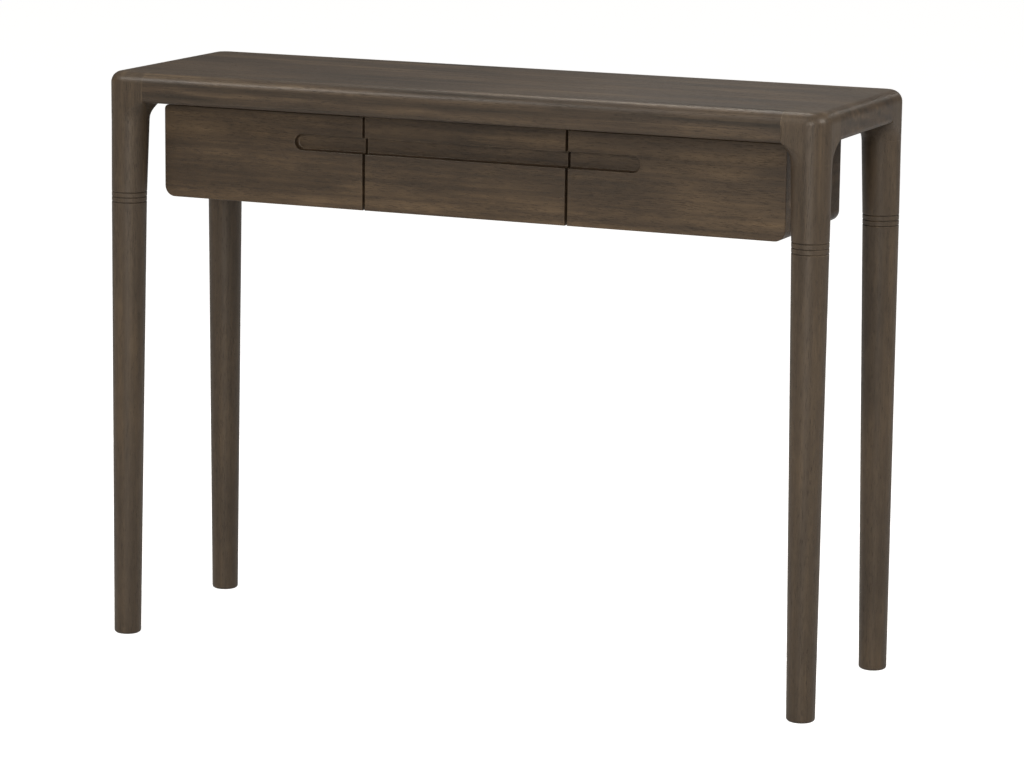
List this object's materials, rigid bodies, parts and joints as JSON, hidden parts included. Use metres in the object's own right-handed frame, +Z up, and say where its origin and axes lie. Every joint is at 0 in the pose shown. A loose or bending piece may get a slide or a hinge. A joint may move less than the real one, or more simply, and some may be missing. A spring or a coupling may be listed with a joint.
{
  "type": "console table",
  "caption": "Long narrow console table on turned tapered legs, with shallow drawers side by side in a case hung under the top and one shared finger slot.",
  "frame": {"origin": "on the floor, under the middle of the tabletop", "axes": "+X along the tabletop to the right, +Y to the back, +Z up; the drawers open towards -Y"},
  "size_m": [1.05, 0.33, 0.8],
  "materials": {
    "top_wood": "dark walnut stain, satin lacquer",
    "leg_wood": "dark walnut stain, satin lacquer",
    "front_wood": "dark walnut stain over figured grain, satin lacquer",
    "case_wood": "dark walnut stain, satin lacquer",
    "drawer_wood": "pale hardwood, clear matt lacquer",
    "drawer_panel": "unstained plywood, clear matt lacquer",
    "dowel_wood": "bare beech",
    "screw_steel": "yellow zinc plated",
    "felt": "brown felt"
  },
  "bodies": {
    "table": {"top_board_front": "top_wood", "top_board_back": "top_wood", "top_board_inner_1": "top_wood", "top_board_inner_2": "top_wood", "top_board_inner_3": "top_wood", "leg_front_left": "leg_wood", "leg_front_right": "leg_wood", "leg_back_left": "leg_wood", "leg_back_right": "leg_wood", "leg_dowels": "dowel_wood", "case_top": "case_wood", "case_bottom": "case_wood", "case_side_left": "case_wood", "case_side_right": "case_wood", "case_divider_left": "case_wood", "case_divider_right": "case_wood", "case_back": "case_wood", "case_dowels": "dowel_wood", "case_screws": "screw_steel", "drawer_stops": "drawer_wood", "stop_screws": "screw_steel", "bumper_dots": "felt"},
    "drawer_left": {"drawer_left_front": "front_wood", "drawer_left_left_side": "drawer_wood", "drawer_left_right_side": "drawer_wood", "drawer_left_back": "drawer_wood", "drawer_left_bottom": "drawer_panel", "drawer_left_dowels": "dowel_wood", "drawer_left_screws": "screw_steel"},
    "drawer_centre": {"drawer_centre_front": "front_wood", "drawer_centre_left_side": "drawer_wood", "drawer_centre_right_side": "drawer_wood", "drawer_centre_back": "drawer_wood", "drawer_centre_bottom": "drawer_panel", "drawer_centre_dowels": "dowel_wood", "drawer_centre_screws": "screw_steel"},
    "drawer_right": {"drawer_right_front": "front_wood", "drawer_right_left_side": "drawer_wood", "drawer_right_right_side": "drawer_wood", "drawer_right_back": "drawer_wood", "drawer_right_bottom": "drawer_panel", "drawer_right_dowels": "dowel_wood", "drawer_right_screws": "screw_steel"}
  },
  "joints": [
    {"name": "drawer_left_slide", "type": "slide", "parent": "table", "child": "drawer_left", "axis": [0, -1, 0], "range_m": [0, 0.1307]},
    {"name": "drawer_centre_slide", "type": "slide", "parent": "table", "child": "drawer_centre", "axis": [0, -1, 0], "range_m": [0, 0.1307]},
    {"name": "drawer_right_slide", "type": "slide", "parent": "table", "child": "drawer_right", "axis": [0, -1, 0], "range_m": [0, 0.1307]}
  ]
}
